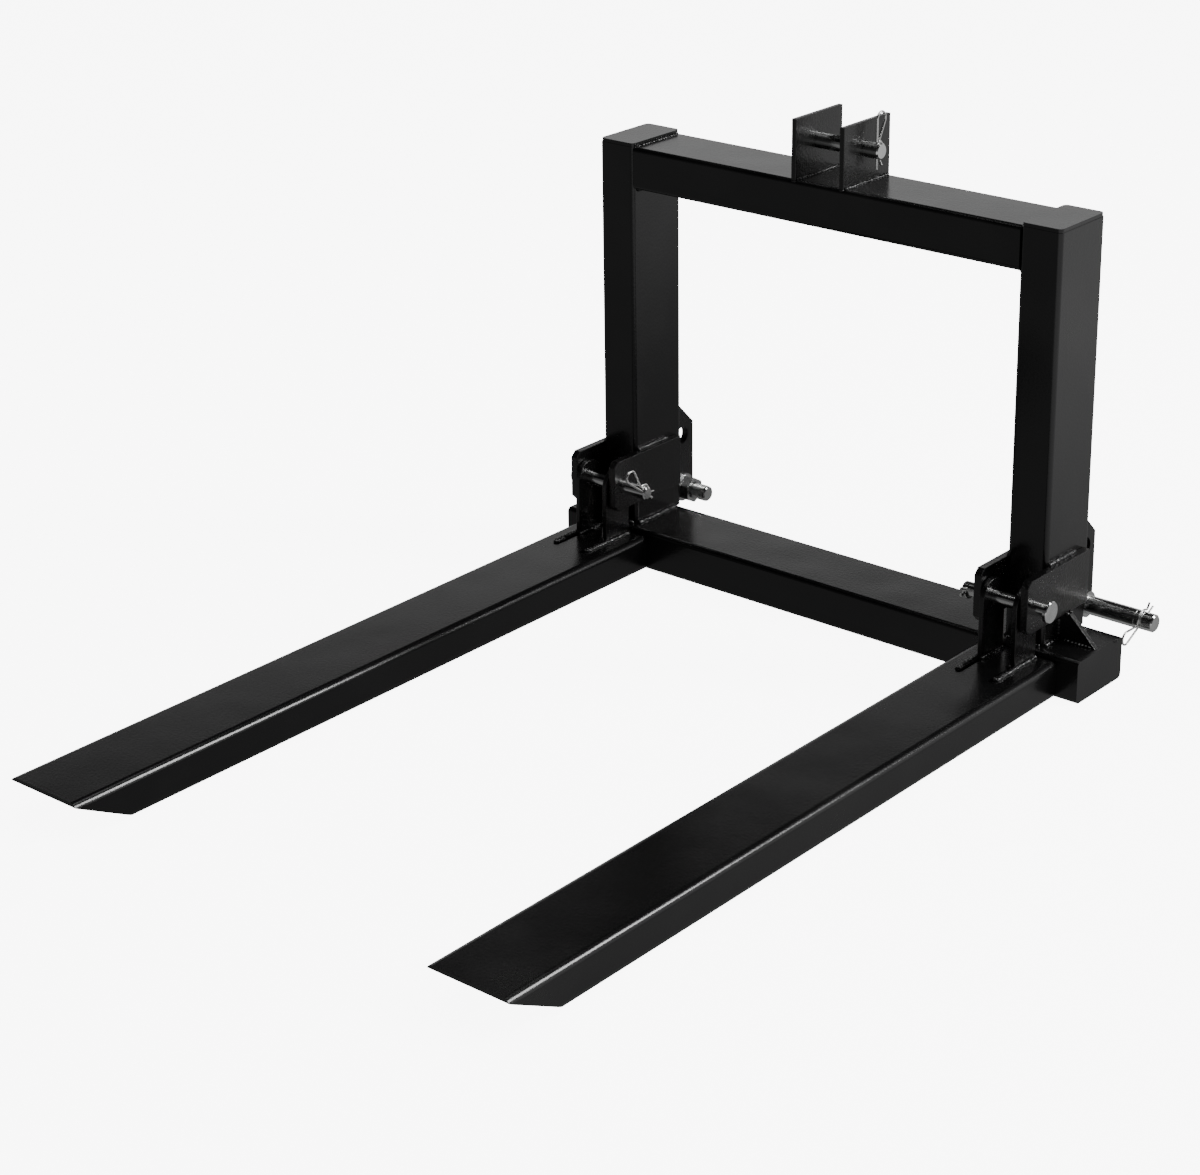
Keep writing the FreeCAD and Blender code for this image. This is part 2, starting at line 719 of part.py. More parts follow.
doc.recompute()
for item in doc.Objects:
    if "Invalid" in item.State or "Error" in item.State:
        raise RuntimeError(f"{item.Label} failed: {item.State}")
for item in nodes:
    if item.Shape.isNull() or not item.Shape.isValid() or len(item.Shape.Solids) != 1:
        raise RuntimeError(f"{item.Label} is not one sound solid")

os.makedirs("parts", exist_ok=True)
for item in nodes:
    item.Shape.exportStep(f"parts/{item.Label}.step")
print(len(nodes), "sub-parts")
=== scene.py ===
import math

import bmesh
import bpy
from mathutils import Matrix, Vector, noise


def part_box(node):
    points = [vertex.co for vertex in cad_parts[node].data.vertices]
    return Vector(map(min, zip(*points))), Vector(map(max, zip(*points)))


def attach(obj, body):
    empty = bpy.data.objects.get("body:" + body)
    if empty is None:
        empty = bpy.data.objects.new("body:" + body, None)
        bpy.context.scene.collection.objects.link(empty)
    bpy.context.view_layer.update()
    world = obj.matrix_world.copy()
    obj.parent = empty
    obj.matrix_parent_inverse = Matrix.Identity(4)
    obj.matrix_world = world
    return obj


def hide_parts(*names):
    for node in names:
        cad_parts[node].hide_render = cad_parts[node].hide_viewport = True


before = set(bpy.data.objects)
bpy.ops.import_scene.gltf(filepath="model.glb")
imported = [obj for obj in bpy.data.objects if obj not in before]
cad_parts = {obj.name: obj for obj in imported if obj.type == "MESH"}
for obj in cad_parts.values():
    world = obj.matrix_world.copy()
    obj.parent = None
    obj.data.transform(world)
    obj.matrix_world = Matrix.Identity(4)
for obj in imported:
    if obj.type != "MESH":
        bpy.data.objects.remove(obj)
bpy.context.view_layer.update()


# Lower crossbar, posts, post caps and top crossbar. Rectangular steel tube, sawn to length,
# closed with thin plates and welded up, then sprayed all over in one coat of gloss black.
# The paint keeps the tube's faint waves and dries with a fine orange peel.
FRAME_TUBES = ["lower_crossbar", "lower_crossbar_left_end", "lower_crossbar_right_end", "top_crossbar"]
FRAME_TUBES += ["left_post", "right_post", "left_post_cap", "right_post_cap"]
GLOSS_BLACK = (0.004, 0.004, 0.0042, 1.0)
FILM_DUST = (0.05, 0.049, 0.047, 1.0)
PEEL_SIZE = 0.0028
WAVE_SIZE = 0.055
DUST_PATCHES = 6.0
DUST_SPECKS = 420.0
CLEAN_BELOW, DUSTY_ABOVE = 0.48, 0.78
DUST_ROUGHENS = 0.35


def new_group(name, inputs, outputs):
    """A shader node group with its own named sockets."""
    group = bpy.data.node_groups.new(name, "ShaderNodeTree")
    for label, kind, start in inputs:
        socket = group.interface.new_socket(label, in_out="INPUT", socket_type=kind)
        socket.default_value = start
    for label, kind in outputs:
        group.interface.new_socket(label, in_out="OUTPUT", socket_type=kind)
    return group, group.nodes.new("NodeGroupInput"), group.nodes.new("NodeGroupOutput")


def sprayed_film():
    """Height of a sprayed coat: orange peel over the slow waves of rolled steel."""
    number = "NodeSocketFloat"
    inputs = [
        ("Peel Scale", number, 1 / PEEL_SIZE),
        ("Wave Scale", number, 1 / WAVE_SIZE),
        ("Peel", number, 0.5),
    ]
    group, given, result = new_group("sprayed film", inputs, [("Height", number)])
    nodes, join = group.nodes, group.links.new
    place = nodes.new("ShaderNodeTexCoord")
    peel = nodes.new("ShaderNodeTexNoise")
    peel.inputs["Detail"].default_value = 1.0
    join(place.outputs["Object"], peel.inputs["Vector"])
    join(given.outputs["Peel Scale"], peel.inputs["Scale"])
    wave = nodes.new("ShaderNodeTexNoise")
    wave.inputs["Detail"].default_value = 0.0
    join(place.outputs["Object"], wave.inputs["Vector"])
    join(given.outputs["Wave Scale"], wave.inputs["Scale"])
    share = nodes.new("ShaderNodeMath")
    share.operation = "MULTIPLY"
    join(peel.outputs["Fac"], share.inputs[0])
    join(given.outputs["Peel"], share.inputs[1])
    total = nodes.new("ShaderNodeMath")
    total.operation = "ADD"
    join(share.outputs[0], total.inputs[0])
    join(wave.outputs["Fac"], total.inputs[1])
    join(total.outputs[0], result.inputs["Height"])
    return group


def settled_dust():
    """Mask of thin dust and handling marks: cloudy patches broken by fine specks."""
    number = "NodeSocketFloat"
    inputs = [
        ("Patch Scale", number, DUST_PATCHES),
        ("Speck Scale", number, DUST_SPECKS),
        ("Amount", number, 0.3),
    ]
    group, given, result = new_group("settled dust", inputs, [("Dust", number)])
    nodes, join = group.nodes, group.links.new
    place = nodes.new("ShaderNodeTexCoord")
    patch = nodes.new("ShaderNodeTexNoise")
    patch.inputs["Detail"].default_value = 5.0
    join(place.outputs["Object"], patch.inputs["Vector"])
    join(given.outputs["Patch Scale"], patch.inputs["Scale"])
    clouds = nodes.new("ShaderNodeMapRange")
    clouds.inputs["From Min"].default_value = CLEAN_BELOW
    clouds.inputs["From Max"].default_value = DUSTY_ABOVE
    join(patch.outputs["Fac"], clouds.inputs["Value"])
    speck = nodes.new("ShaderNodeTexNoise")
    speck.inputs["Detail"].default_value = 3.0
    join(place.outputs["Object"], speck.inputs["Vector"])
    join(given.outputs["Speck Scale"], speck.inputs["Scale"])
    both = nodes.new("ShaderNodeMath")
    both.operation = "MULTIPLY"
    join(clouds.outputs["Result"], both.inputs[0])
    join(speck.outputs["Fac"], both.inputs[1])
    scaled = nodes.new("ShaderNodeMath")
    scaled.operation = "MULTIPLY"
    join(both.outputs[0], scaled.inputs[0])
    join(given.outputs["Amount"], scaled.inputs[1])
    join(scaled.outputs[0], result.inputs["Dust"])
    return group


FILM = sprayed_film()
DUST = settled_dust()


def black_paint(name, rough, peel, depth, dust):
    """Gloss black enamel on steel: a dark base under a clear, slightly uneven surface."""
    material = bpy.data.materials.new(name)
    material.use_nodes = True
    nodes, join = material.node_tree.nodes, material.node_tree.links.new
    paint = nodes["Principled BSDF"]
    paint.inputs["IOR"].default_value = 1.5
    paint.inputs["Coat Weight"].default_value = 0.25
    paint.inputs["Coat Roughness"].default_value = 0.12
    film = nodes.new("ShaderNodeGroup")
    film.node_tree = FILM
    film.inputs["Peel"].default_value = peel
    relief = nodes.new("ShaderNodeBump")
    relief.inputs["Distance"].default_value = depth
    relief.inputs["Strength"].default_value = 0.6
    join(film.outputs["Height"], relief.inputs["Height"])
    join(relief.outputs["Normal"], paint.inputs["Normal"])
    marks = nodes.new("ShaderNodeGroup")
    marks.node_tree = DUST
    marks.inputs["Amount"].default_value = dust
    tint = nodes.new("ShaderNodeMix")
    tint.data_type = "RGBA"
    tint.inputs["A"].default_value = GLOSS_BLACK
    tint.inputs["B"].default_value = FILM_DUST
    join(marks.outputs["Dust"], tint.inputs["Factor"])
    join(tint.outputs["Result"], paint.inputs["Base Color"])
    dull = nodes.new("ShaderNodeMapRange")
    dull.inputs["To Min"].default_value = rough
    dull.inputs["To Max"].default_value = rough + DUST_ROUGHENS
    join(marks.outputs["Dust"], dull.inputs["Value"])
    join(dull.outputs["Result"], paint.inputs["Roughness"])
    return material


def finish_cad(nodes, material):
    """Gives CAD nodes their material."""
    for node in nodes:
        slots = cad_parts[node].data.materials
        slots.clear()
        slots.append(material)


TUBE_PAINT = black_paint("black_tube_paint", rough=0.21, peel=0.30, depth=0.0007, dust=0.5)
finish_cad(FRAME_TUBES, TUBE_PAINT)


# Ears, gussets, hitch lugs and top-link plates. Hot-rolled flat bar and plate, sheared and
# flame cut, so its faces keep a coarser skin under the same black paint than the tubes do.
SIDES = {"left": -1, "right": 1}
PLATES = ["left_link_plate", "right_link_plate"]
for side in SIDES:
    PLATES += [f"{side}_outer_ear", f"{side}_inner_ear", f"{side}_gusset", f"{side}_hitch_lug"]
PLATE_PAINT = black_paint("black_plate_paint", rough=0.25, peel=0.8, depth=0.0009, dust=0.6)
finish_cad(PLATES, PLATE_PAINT)


# Weld beads of the frame. Each is a run of overlapping puddles laid by hand in the corner
# between two pieces, lumpy and a little uneven, and painted over with the rest.
WELD_BLACK = black_paint("black_weld_paint", rough=0.12, peel=1.2, depth=0.0010, dust=0.2)
BEAD_SIDES = 12
RING_GAP = 0.0008
FEWEST_RINGS = 4
PUDDLE = 0.0046
PUDDLE_TRAIL = 0.45
PUDDLE_CREST = 0.6
PUDDLE_LOW, PUDDLE_RISE = 0.68, 0.32
DRIFT_RISE, DRIFT_SCALE = 0.5, 60
LUMP_RISE, LUMP_SCALE = 0.20, 140
GRAIN_RISE, GRAIN_SCALE = 0.09, 520
NOSE_LEAST = 0.02
BEAD_STANDS_OFF = 0.08


def bead(bm, start, end, out_a, out_b, leg):
    """One closed, rippled bead from start to end, bulging between the directions out_a and out_b."""
    start, end, out_a, out_b = Vector(start), Vector(end), Vector(out_a), Vector(out_b)
    length = (end - start).length
    straight = (end - start).normalized()
    standing = Matrix.Translation((0, 0, 0.5))
    before = len(bm.verts)
    made = bmesh.ops.create_cone(
        bm, cap_ends=True, segments=BEAD_SIDES, radius1=1, radius2=1, depth=1, matrix=standing
    )
    edges = {edge for vert in made["verts"] for edge in vert.link_edges}
    rising = [edge for edge in edges if abs(edge.verts[0].co.z - edge.verts[1].co.z) > 0.5]
    cuts = max(FEWEST_RINGS, round(length / RING_GAP))
    bmesh.ops.subdivide_edges(bm, edges=rising, cuts=cuts, use_grid_fill=True)
    bm.verts.ensure_lookup_table()
    verts = bm.verts[before:]
    for vert in verts:
        along = vert.co.z * length
        around = math.atan2(vert.co.y, vert.co.x) - math.pi / 4
        hang = along + PUDDLE_TRAIL * PUDDLE * math.cos(around)
        spot = start + straight * along
        phase = (hang / PUDDLE + DRIFT_RISE * noise.noise(spot * DRIFT_SCALE)) % 1.0
        puddle = math.sin(math.pi * phase) ** PUDDLE_CREST
        lumps = LUMP_RISE * noise.noise(spot * LUMP_SCALE + Vector((0, 0, around)))
        lumps += GRAIN_RISE * noise.noise(spot * GRAIN_SCALE)
        swell = PUDDLE_LOW + PUDDLE_RISE * puddle + lumps
        nose = min(along, length - along) / leg
        taper = math.sqrt(max(NOSE_LEAST, 1 - max(0.0, 1 - nose) ** 2))
        radius = leg * swell * taper
        vert.co = (vert.co.x * radius, vert.co.y * radius, along)
    middle = start + (out_a + out_b) * leg * BEAD_STANDS_OFF
    frame_matrix = Matrix((out_a, out_b, straight)).transposed().to_4x4()
    frame_matrix.translation = middle
    bmesh.ops.transform(bm, matrix=frame_matrix, verts=verts)


def mesh_piece(name, bm, material, body, smooth_angle=None):
    """Puts a finished bmesh in the scene as a piece that rides on a body."""
    bmesh.ops.recalc_face_normals(bm, faces=bm.faces)
    mesh = bpy.data.meshes.new(name)
    bm.to_mesh(mesh)
    bm.free()
    mesh.materials.append(material)
    if smooth_angle:
        mesh.shade_smooth()
        mesh.set_sharp_from_angle(angle=math.radians(smooth_angle))
    piece = bpy.data.objects.new(name, mesh)
    bpy.context.scene.collection.objects.link(piece)
    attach(piece, body)
    return piece


def weld_piece(name, runs, body):
    """All the beads of one joint as one piece; a run is (start, end, out_a, out_b, leg)."""
    bm = bmesh.new()
    for run in runs:
        bead(bm, *run)
    piece = mesh_piece(name, bm, WELD_BLACK, body)
    piece.data.shade_smooth()


UP, DOWN = (0, 0, 1), (0, 0, -1)
AHEAD, BEHIND = (0, -1, 0), (0, 1, 0)
LEFTWARD, RIGHTWARD = (-1, 0, 0), (1, 0, 0)
_, bar_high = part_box("lower_crossbar")
top_low, top_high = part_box("top_crossbar")
CORNER = 0.0055
FILLET = 0.0042
SEAM = 0.0029
THIN = 0.0023
SUNK = 0.001
FOOT_TURN = CORNER * 0.6
EAR_TOP_START, EAR_TOP_STOP = 0.003, 0.016
EAR_FOOT_START, EAR_FOOT_STOP = 0.006, 0.012
EAR_END_STOP = 0.006
GUSSET_CLEARANCE = 0.001
GUSSET_FOOT_STOP = 0.004
GUSSET_SIDE_START, GUSSET_SIDE_STOP = 0.005, 0.002
GUSSET_TOP_START, GUSSET_TOP_STOP = 0.003, 0.001
LUG_START = 0.003
PLATE_STOP = 0.002
PLATE_INSET = CORNER * 0.3
PLATE_SUNK = 0.0015

for side, sign in SIDES.items():
    outward, inward = (sign, 0, 0), (-sign, 0, 0)
    post_low, post_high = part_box(f"{side}_post")
    gusset_low, gusset_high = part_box(f"{side}_gusset")
    outer = max(post_low.x * sign, post_high.x * sign) * sign
    inner = min(post_low.x * sign, post_high.x * sign) * sign
    deck, front, rear = bar_high.z, post_low.y, bar_high.y - CORNER
    foot = [
        ((outer - sign * FOOT_TURN, front, deck), (inner + sign * FOOT_TURN, front, deck), UP, AHEAD, FILLET),
        ((inner, front + FOOT_TURN, deck), (inner, rear, deck), UP, inward, FILLET),
        ((outer, front + FOOT_TURN, deck), (outer, gusset_low.y, deck), UP, outward, FILLET),
        ((outer, gusset_high.y, deck), (outer, rear, deck), UP, outward, FILLET),
    ]
    weld_piece(f"{side}_post_foot_weld", foot, "frame")
    under, over = top_low.z, top_high.z
    begin, end, back = front + CORNER, top_high.y - CORNER, top_high.y - SUNK
    shoulder = [
        ((inner, begin, under), (inner, end, under), DOWN, inward, FILLET),
        ((inner, back, under + CORNER), (inner, back, over - CORNER), BEHIND, inward, SEAM),
        ((inner, begin, over - SUNK), (inner, end, over - SUNK), UP, inward, THIN),
    ]
    weld_piece(f"{side}_shoulder_weld", shoulder, "frame")

    ear_runs = []
    for ear, face, away in (("outer", outer, outward), ("inner", inner, inward)):
        ear_low, ear_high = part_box(f"{side}_{ear}_ear")
        top, foot_z, end = ear_high.z, ear_low.z, ear_high.y
        before_gusset, after_gusset = gusset_low.y - GUSSET_CLEARANCE, gusset_high.y + GUSSET_CLEARANCE
        ear_runs += [
            ((face, front + EAR_TOP_START, top), (face, end - EAR_TOP_STOP, top), UP, away, FILLET),
            ((face, front + EAR_FOOT_START, foot_z), (face, before_gusset, foot_z), DOWN, away, SEAM),
            ((face, after_gusset, foot_z), (face, end - EAR_FOOT_STOP, foot_z), DOWN, away, SEAM),
            ((face, end, foot_z + EAR_END_STOP), (face, end, top - EAR_END_STOP), BEHIND, away, SEAM),
        ]
    weld_piece(f"{side}_ear_weld", ear_runs, "frame")

    tip = gusset_high.x if sign > 0 else gusset_low.x
    crest = gusset_high.z
    slope_top = outer + sign * (abs(tip - outer) - (crest - gusset_low.z))
    foot_start, foot_end = outer + sign * GUSSET_FOOT_STOP, tip - sign * GUSSET_FOOT_STOP
    crest_start, crest_end = outer + sign * GUSSET_TOP_START, slope_top - sign * GUSSET_TOP_STOP
    side_start, side_end = deck + GUSSET_SIDE_START, crest - GUSSET_SIDE_STOP
    gusset_runs = []
    for face_y, away in ((gusset_low.y, AHEAD), (gusset_high.y, BEHIND)):
        gusset_runs += [
            ((foot_start, face_y, deck), (foot_end, face_y, deck), UP, away, SEAM),
            ((outer, face_y, side_start), (outer, face_y, side_end), outward, away, SEAM),
            ((crest_start, face_y, crest), (crest_end, face_y, crest), DOWN, away, SEAM),
        ]
    weld_piece(f"{side}_gusset_weld", gusset_runs, "frame")

    lug_low, lug_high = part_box(f"{side}_hitch_lug")
    lug_runs = []
    for face_x, away in ((lug_low.x, LEFTWARD), (lug_high.x, RIGHTWARD)):
        bottom = (face_x, lug_low.y, post_low.z + LUG_START)
        lug_runs.append((bottom, (face_x, lug_low.y, lug_high.z), BEHIND, away, FILLET))
    lug_top = ((lug_low.x, lug_low.y, lug_high.z), (lug_high.x, lug_low.y, lug_high.z), UP, BEHIND, SEAM)
    weld_piece(f"{side}_lug_weld", lug_runs + [lug_top], "frame")

    plate_low, plate_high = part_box(f"{side}_link_plate")
    link_runs = []
    for face_x, away in ((plate_low.x, LEFTWARD), (plate_high.x, RIGHTWARD)):
        begin = (face_x, plate_low.y + PLATE_STOP, plate_low.z)
        link_runs.append((begin, (face_x, plate_high.y - PLATE_STOP, plate_low.z), UP, away, THIN))
    for edge_y, away in ((plate_low.y + PLATE_INSET, AHEAD), (plate_high.y - PLATE_INSET, BEHIND)):
        begin = (plate_low.x, edge_y, plate_low.z - PLATE_SUNK)
        link_runs.append((begin, (plate_high.x, edge_y, plate_low.z - PLATE_SUNK), UP, away, THIN))
    weld_piece(f"{side}_link_plate_weld", link_runs, "frame")


# Forks. Each is one length of rectangular tube, mitred under the tip and closed by welded plates,
# with two upstand plates let through slots in its top wall. The beads along the upstands end
# level with the plates, just short of the crossbar.
FORK_PAINT = black_paint("black_fork_paint", rough=0.23, peel=0.30, depth=0.0005, dust=0.35)
UPSTAND_PAINT = black_paint("black_upstand_paint", rough=0.25, peel=0.8, depth=0.0009, dust=0.6)
SLOT_GAP = 0.0005
DECK_SUNK = 0.0005
LONG_LEAD, SHORT_LEAD = 0.040, 0.002

for side, sign in SIDES.items():
    finish_cad([f"{side}_fork_tube", f"{side}_fork_tip", f"{side}_fork_heel"], FORK_PAINT)
    finish_cad([f"{side}_fork_outer_upstand", f"{side}_fork_inner_upstand"], UPSTAND_PAINT)
    _, tube_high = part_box(f"{side}_fork_tube")
    weld_z = tube_high.z - DECK_SUNK
    fork_runs = []
    for upstand in ("outer", "inner"):
        up_low, up_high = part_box(f"{side}_fork_{upstand}_upstand")
        middle = (up_low.x + up_high.x) / 2
        outer_way = sign if upstand == "outer" else -sign
        for face_x, away in ((up_low.x - SLOT_GAP, LEFTWARD), (up_high.x + SLOT_GAP, RIGHTWARD)):
            lead = LONG_LEAD if (face_x - middle) * outer_way > 0 else SHORT_LEAD
            begin = (face_x, up_low.y - lead, weld_z)
            fork_runs.append((begin, (face_x, up_high.y, weld_z), UP, away, FILLET))
    weld_piece(f"{side}_upstand_weld", fork_runs, f"{side}_fork")


# Fork pins and top-link pin. Cold-drawn steel bar with a pressed or turned head, bright zinc
# plated, drilled near the tail for its spring clip; fine turning marks run round it.
ZINC = (0.82, 0.82, 0.80, 1.0)
ZINC_SHADE = (0.62, 0.63, 0.64, 1.0)
MARKS_PER_METRE = 2600.0
MARK_DEPTH = 0.00004
TURNED_ROUGH = 0.15
CLOUD_SMOOTHS, CLOUD_ROUGHENS = 0.06, 0.10


def turning_marks():
    """Height of lathe marks round a pin that lies along X through the origin of Vector."""
    number, vector = "NodeSocketFloat", "NodeSocketVector"
    inputs = [("Vector", vector, (0, 0, 0)), ("Marks per metre", number, MARKS_PER_METRE)]
    group, given, result = new_group("turning marks", inputs, [("Height", number)])
    nodes, join = group.nodes, group.links.new
    split = nodes.new("ShaderNodeSeparateXYZ")
    join(given.outputs["Vector"], split.inputs[0])
    flat = nodes.new("ShaderNodeCombineXYZ")
    join(split.outputs["Y"], flat.inputs["Y"])
    join(split.outputs["Z"], flat.inputs["Z"])
    radius = nodes.new("ShaderNodeVectorMath")
    radius.operation = "LENGTH"
    join(flat.outputs[0], radius.inputs[0])
    path = nodes.new("ShaderNodeMath")
    path.operation = "ADD"
    join(split.outputs["X"], path.inputs[0])
    join(radius.outputs["Value"], path.inputs[1])
    turns = nodes.new("ShaderNodeMath")
    turns.operation = "MULTIPLY"
    join(path.outputs[0], turns.inputs[0])
    join(given.outputs["Marks per metre"], turns.inputs[1])
    lines = nodes.new("ShaderNodeTexNoise")
    lines.noise_dimensions = "1D"
    lines.inputs["Scale"].default_value = 1.0
    lines.inputs["Detail"].default_value = 3.0
    join(turns.outputs[0], lines.inputs["W"])
    join(lines.outputs["Fac"], result.inputs["Height"])
    return group


MARKS = turning_marks()


def zinc_plate(name, axis, rough, depth):
    """Bright zinc on turned steel whose axis lies along X through the point axis."""
    material = bpy.data.materials.new(name)
    material.use_nodes = True
    nodes, join = material.node_tree.nodes, material.node_tree.links.new
    metal = nodes["Principled BSDF"]
    metal.inputs["Metallic"].default_value = 1.0
    place = nodes.new("ShaderNodeTexCoord")
    centre = nodes.new("ShaderNodeMapping")
    centre.inputs["Location"].default_value = -Vector(axis)
    join(place.outputs["Object"], centre.inputs["Vector"])
    marks = nodes.new("ShaderNodeGroup")
    marks.node_tree = MARKS
    join(centre.outputs["Vector"], marks.inputs["Vector"])
    relief = nodes.new("ShaderNodeBump")
    relief.inputs["Distance"].default_value = depth
    relief.inputs["Strength"].default_value = 0.5
    join(marks.outputs["Height"], relief.inputs["Height"])
    join(relief.outputs["Normal"], metal.inputs["Normal"])
    cloud = nodes.new("ShaderNodeTexNoise")
    cloud.inputs["Scale"].default_value = 90.0
    cloud.inputs["Detail"].default_value = 4.0
    join(place.outputs["Object"], cloud.inputs["Vector"])
    tint = nodes.new("ShaderNodeMix")
    tint.data_type = "RGBA"
    tint.inputs["A"].default_value = ZINC_SHADE
    tint.inputs["B"].default_value = ZINC
    join(cloud.outputs["Fac"], tint.inputs["Factor"])
    join(tint.outputs["Result"], metal.inputs["Base Color"])
    dull = nodes.new("ShaderNodeMapRange")
    dull.inputs["To Min"].default_value = rough - CLOUD_SMOOTHS
    dull.inputs["To Max"].default_value = rough + CLOUD_ROUGHENS
    join(cloud.outputs["Fac"], dull.inputs["Value"])
    join(dull.outputs["Result"], metal.inputs["Roughness"])
    return material


def axis_of(node):
    """The middle of a round node that lies along X."""
    low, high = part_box(node)
    return (0, (low.y + high.y) / 2, (low.z + high.z) / 2)


FORK_PIN_ZINC = zinc_plate("zinc_fork_pin", axis_of("left_fork_pin"), TURNED_ROUGH, MARK_DEPTH)
LINK_PIN_ZINC = zinc_plate("zinc_link_pin", axis_of("top_link_pin"), TURNED_ROUGH, MARK_DEPTH)
finish_cad(["left_fork_pin", "right_fork_pin"], FORK_PIN_ZINC)
finish_cad(["top_link_pin"], LINK_PIN_ZINC)


# Lower hitch pins with their washers. Turned from bar with a solid collar, threaded at the
# inboard end and drawn up against the lug by a washer and a hexagon nut, all zinc plated.
THREAD_PITCH = 0.0020
THREAD_DEPTH = 0.0006
THREAD_ROOT = 0.0094
THREAD_LEAD_IN = 0.0030
THREAD_LEFT_PLAIN = 0.004
TURN_STEPS = 40
NUT_SIDES = 6
NUT_CHAMFER = 0.0022
NUT_RIM = 0.0042
NUT_SMOOTH_ANGLE = 30
END_FACING = 0.9
QUARTER_TURN = math.pi / 2
HITCH_ZINC = zinc_plate("zinc_hitch_pin", axis_of("left_hitch_pin"), TURNED_ROUGH, MARK_DEPTH)
NUT_ZINC = zinc_plate("zinc_nut", axis_of("left_hitch_pin"), rough=0.22, depth=0.0001)


def thread(start, turns, radius, sign):
    """A helical ridge: one small triangle spun round the pin's axis."""
    bm = bmesh.new()
    section = bmesh.ops.create_circle(bm, cap_ends=True, segments=3, radius=THREAD_PITCH * 0.5)
    flatten = Matrix.Diagonal((1.0, THREAD_DEPTH / (THREAD_PITCH * 0.5), 1.0, 1.0))
    bmesh.ops.transform(bm, matrix=Matrix.Rotation(QUARTER_TURN, 4, "Z"), verts=section["verts"])
    bmesh.ops.transform(bm, matrix=flatten, verts=section["verts"])
    bmesh.ops.translate(bm, vec=Vector(start) + Vector((0, radius, 0)), verts=section["verts"])
    bmesh.ops.spin(
        bm, geom=bm.faces[:], cent=start, axis=(sign, 0, 0), angle=2 * math.pi * turns,
        steps=round(TURN_STEPS * turns), dvec=(sign * THREAD_PITCH / TURN_STEPS, 0, 0), use_merge=False,
    )
    return bm


for side, sign in SIDES.items():
    pin, nut = f"{side}_hitch_pin", f"{side}_hitch_nut"
    finish_cad([pin, f"{side}_hitch_washer"], HITCH_ZINC)
    pin_low, pin_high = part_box(pin)
    nut_low, nut_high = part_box(nut)
    _, axis_y, axis_z = axis_of(pin)
    tail = pin_low.x if sign > 0 else pin_high.x
    nut_inner = nut_low.x if sign > 0 else nut_high.x
    turns = (abs(nut_inner - tail) - THREAD_LEFT_PLAIN) / THREAD_PITCH
    ridge = thread((tail + sign * THREAD_LEAD_IN, axis_y, axis_z), turns, THREAD_ROOT, sign)
    mesh_piece(f"{side}_hitch_thread", ridge, HITCH_ZINC, "frame")

    nut_bm = bmesh.new()
    middle = ((nut_low.x + nut_high.x) / 2, axis_y, axis_z)
    on_side = Matrix.Translation(middle) @ Matrix.Rotation(QUARTER_TURN, 4, "Y")
    lying = on_side @ Matrix.Rotation(QUARTER_TURN, 4, "Z")
    half_across = (nut_high.y - nut_low.y) / 2
    bmesh.ops.create_cone(
        nut_bm, cap_ends=True, segments=NUT_SIDES, radius1=half_across, radius2=half_across,
        depth=nut_high.x - nut_low.x, matrix=lying,
    )
    bmesh.ops.bevel(
        nut_bm, geom=nut_bm.verts[:], offset=NUT_CHAMFER, affect="VERTICES", segments=3,
        profile=0.5, material=-1,
    )
    ends = [face for face in nut_bm.faces if abs(face.normal.x) > END_FACING]
    bmesh.ops.inset_individual(nut_bm, faces=ends, thickness=NUT_RIM)
    rim = [face for face in nut_bm.faces if abs(face.normal.x) > END_FACING and len(face.verts) > 4]
    bmesh.ops.delete(nut_bm, geom=rim, context="FACES")
    hollow = [edge for edge in nut_bm.edges if edge.is_boundary]
    bmesh.ops.bridge_loops(nut_bm, edges=hollow)
    nut_name = f"{side}_hitch_hex_nut"
    new_nut = mesh_piece(nut_name, nut_bm, NUT_ZINC, "frame", NUT_SMOOTH_ANGLE)
    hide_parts(nut)


# Spring clips. Hard-drawn round wire bent to a hairpin: one leg goes straight through the pin
# and the other is bowed to snap round it. The wire is bright, with faint mottling.
CLIPS = [f"{side}_{place}_clip" for side in SIDES for place in ("fork", "hitch")] + ["top_link_clip"]
WIRE_SHADE = (0.62, 0.62, 0.61, 1.0)
WIRE_BRIGHT = (0.86, 0.86, 0.85, 1.0)
WIRE_SMOOTH, WIRE_ROUGH = 0.14, 0.34


def drawn_wire():
    """Bright spring wire with faint mottling."""
    material = bpy.data.materials.new("bright_clip_wire")
    material.use_nodes = True
    nodes, join = material.node_tree.nodes, material.node_tree.links.new
    wire = nodes["Principled BSDF"]
    wire.inputs["Metallic"].default_value = 1.0
    place = nodes.new("ShaderNodeTexCoord")
    grain = nodes.new("ShaderNodeTexNoise")
    grain.inputs["Scale"].default_value = 700.0
    grain.inputs["Detail"].default_value = 4.0
    join(place.outputs["Object"], grain.inputs["Vector"])
    tone = nodes.new("ShaderNodeMix")
    tone.data_type = "RGBA"
    tone.inputs["A"].default_value = WIRE_SHADE
    tone.inputs["B"].default_value = WIRE_BRIGHT
    join(grain.outputs["Fac"], tone.inputs["Factor"])
    join(tone.outputs["Result"], wire.inputs["Base Color"])
    dull = nodes.new("ShaderNodeMapRange")
    dull.inputs["To Min"].default_value = WIRE_SMOOTH
    dull.inputs["To Max"].default_value = WIRE_ROUGH
    join(grain.outputs["Fac"], dull.inputs["Value"])
    join(dull.outputs["Result"], wire.inputs["Roughness"])
    return material


finish_cad(CLIPS, drawn_wire())


